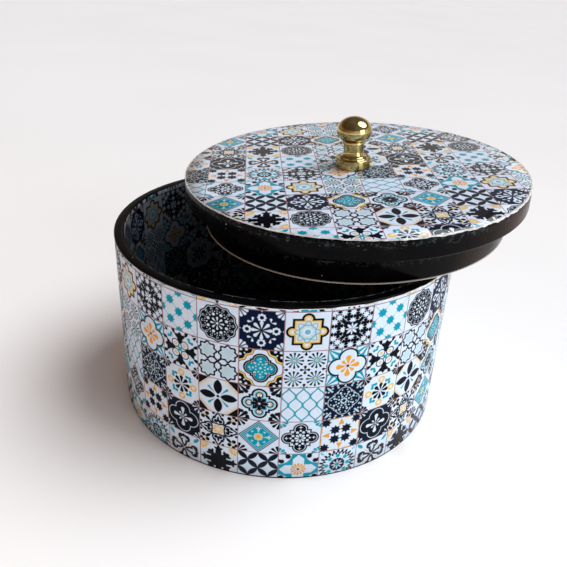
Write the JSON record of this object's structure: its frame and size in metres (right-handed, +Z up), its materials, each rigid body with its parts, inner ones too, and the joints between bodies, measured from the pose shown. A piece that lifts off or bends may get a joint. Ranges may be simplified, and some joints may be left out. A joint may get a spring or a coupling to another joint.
{
  "type": "round lacquered storage box",
  "caption": "Round lacquered box with a printed mosaic tile skin and a lift-off plug lid with a brass knob, shown with the lid sitting askew.",
  "frame": {"origin": "centre of the box's flat underside", "axes": "+Z up along the box's own axis, -Y towards the front, +X to the right; the lid is shifted towards +X and +Y"},
  "size_m": [0.2169, 0.1962, 0.1513],
  "materials": {
    "black_lacquer": "gloss black lacquer",
    "bare_board": "matt black stain",
    "printed_skin": "printed mosaic tiles under a glossy coat",
    "liner_paper": "printed paper, semi-matt",
    "white_paper": "plain white paper, matt",
    "polished_brass": "polished",
    "zinc_steel": "zinc plated"
  },
  "bodies": {
    "box": {"box_wall": "black_lacquer", "box_floor": "bare_board", "outer_print_wrap": "printed_skin", "inner_print_liner": "liner_paper", "floor_liner": "liner_paper"},
    "lid": {"lid_flange_board": "black_lacquer", "lid_plug_board": "black_lacquer", "lid_print_disc": "printed_skin", "lid_underside_liner": "white_paper", "brass_knob": "polished_brass", "knob_screw": "zinc_steel", "knob_washer": "zinc_steel"}
  },
  "joints": [
    {"name": "lid_lift", "type": "slide", "parent": "box", "child": "lid", "axis": [0, 0, 1], "range_m": [0, 0.12]}
  ]
}
